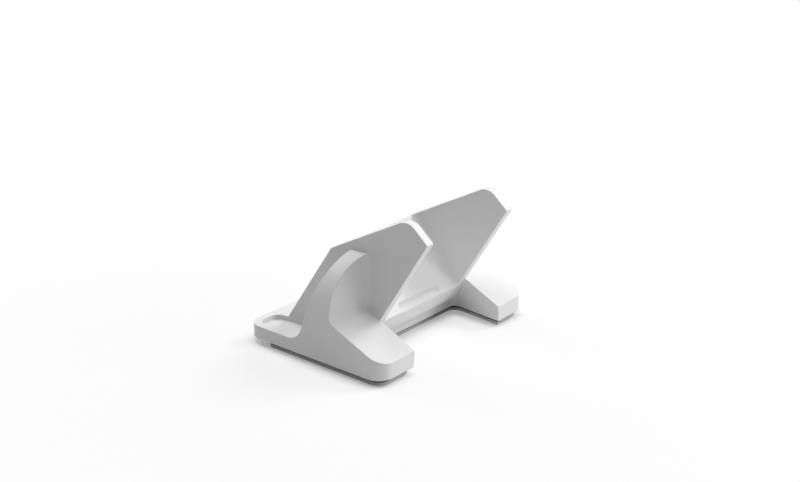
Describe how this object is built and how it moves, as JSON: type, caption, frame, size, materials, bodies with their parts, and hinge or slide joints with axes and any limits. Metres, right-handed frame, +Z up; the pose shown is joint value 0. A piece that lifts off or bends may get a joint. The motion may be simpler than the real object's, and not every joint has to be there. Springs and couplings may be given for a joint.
{
  "type": "controller stand",
  "caption": "Low white stand with leaning fins, splayed feet and grip cradles that hold a game controller at rest on a table, on a grey base pad.",
  "frame": {"origin": "on the table, under the middle of the stand", "axes": "+X across the stand, to the right seen from its front, +Y from the front to the rear, +Z up"},
  "size_m": [0.123, 0.0979, 0.0743],
  "materials": {
    "body": "satin moulded",
    "pad": "matte"
  },
  "bodies": {
    "root": {"stand_body": "body", "base_pad": "pad"}
  },
  "joints": []
}
